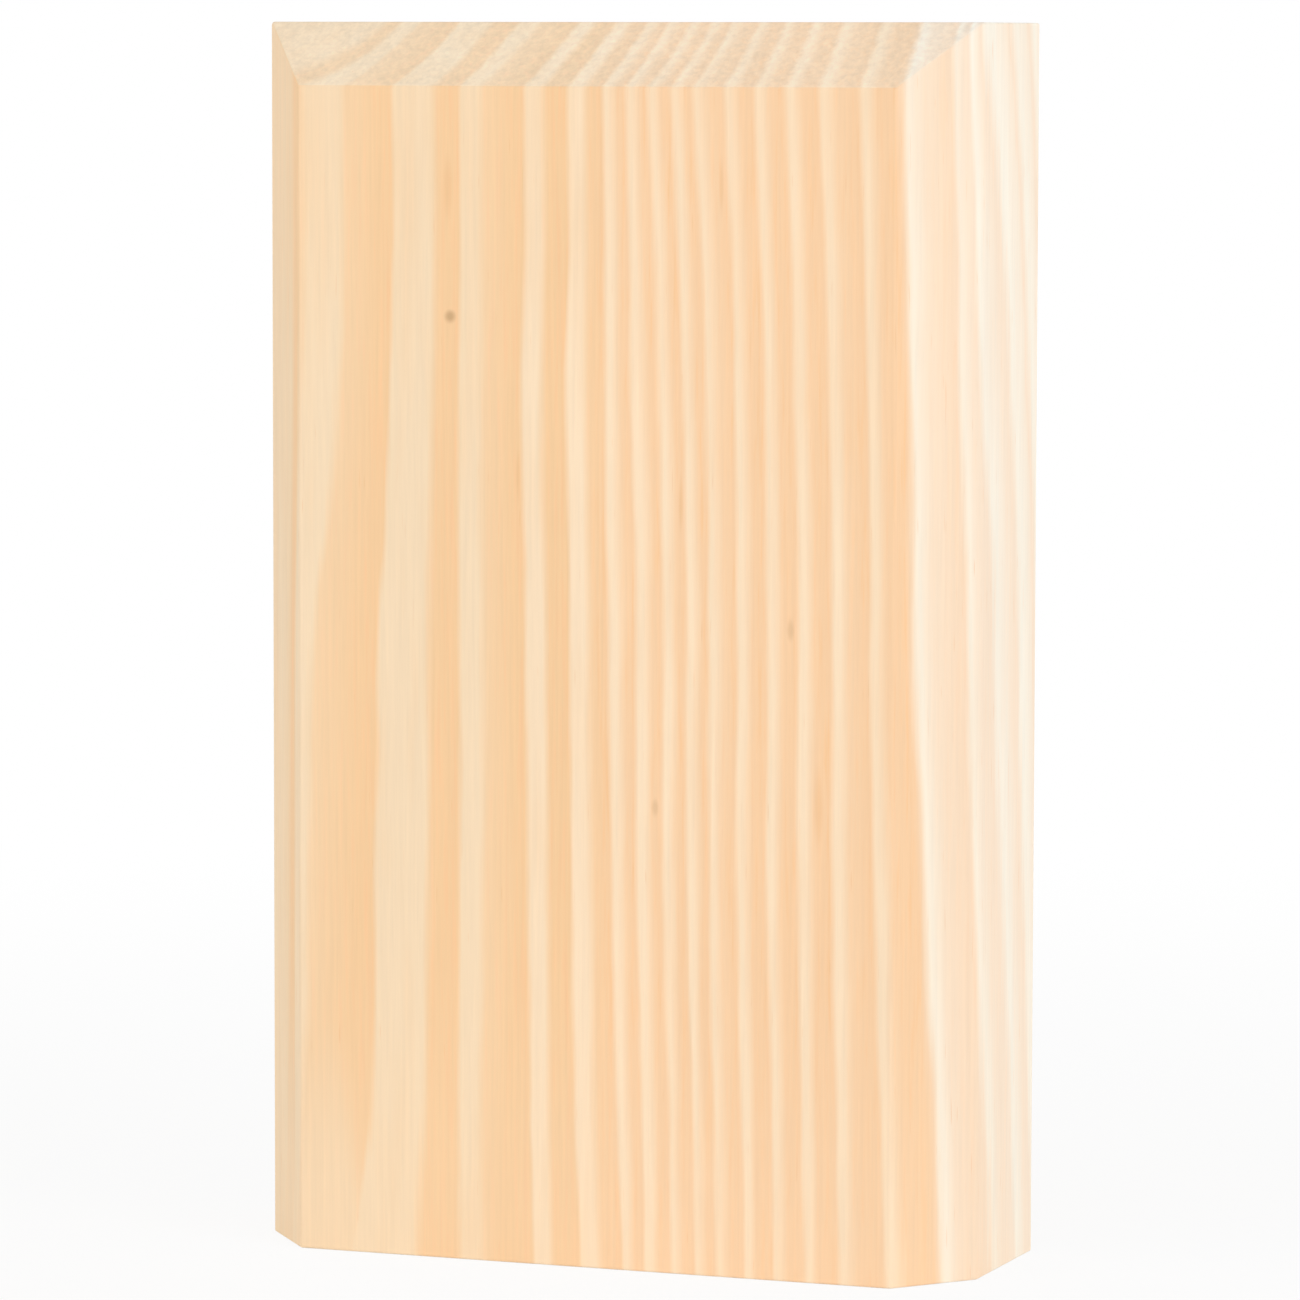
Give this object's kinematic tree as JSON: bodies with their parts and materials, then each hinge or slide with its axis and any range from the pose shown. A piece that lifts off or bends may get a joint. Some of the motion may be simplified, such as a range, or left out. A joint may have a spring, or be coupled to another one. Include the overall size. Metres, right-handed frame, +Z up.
{
  "type": "plinth block",
  "caption": "Upright softwood block with a bevel down each side and across its top, standing at the foot of a door architrave, where the skirting butts against its side.",
  "frame": {"origin": "middle of the foot, on the floor", "axes": "+Z up the block, +Y into the wall behind it, so that the bevelled front face looks along -Y, and +X to the right seen from the front"},
  "size_m": [0.095, 0.032, 0.155],
  "materials": {
    "pine": "planed and sanded, bare"
  },
  "bodies": {
    "root": {"plinth_block": "pine"}
  },
  "joints": []
}
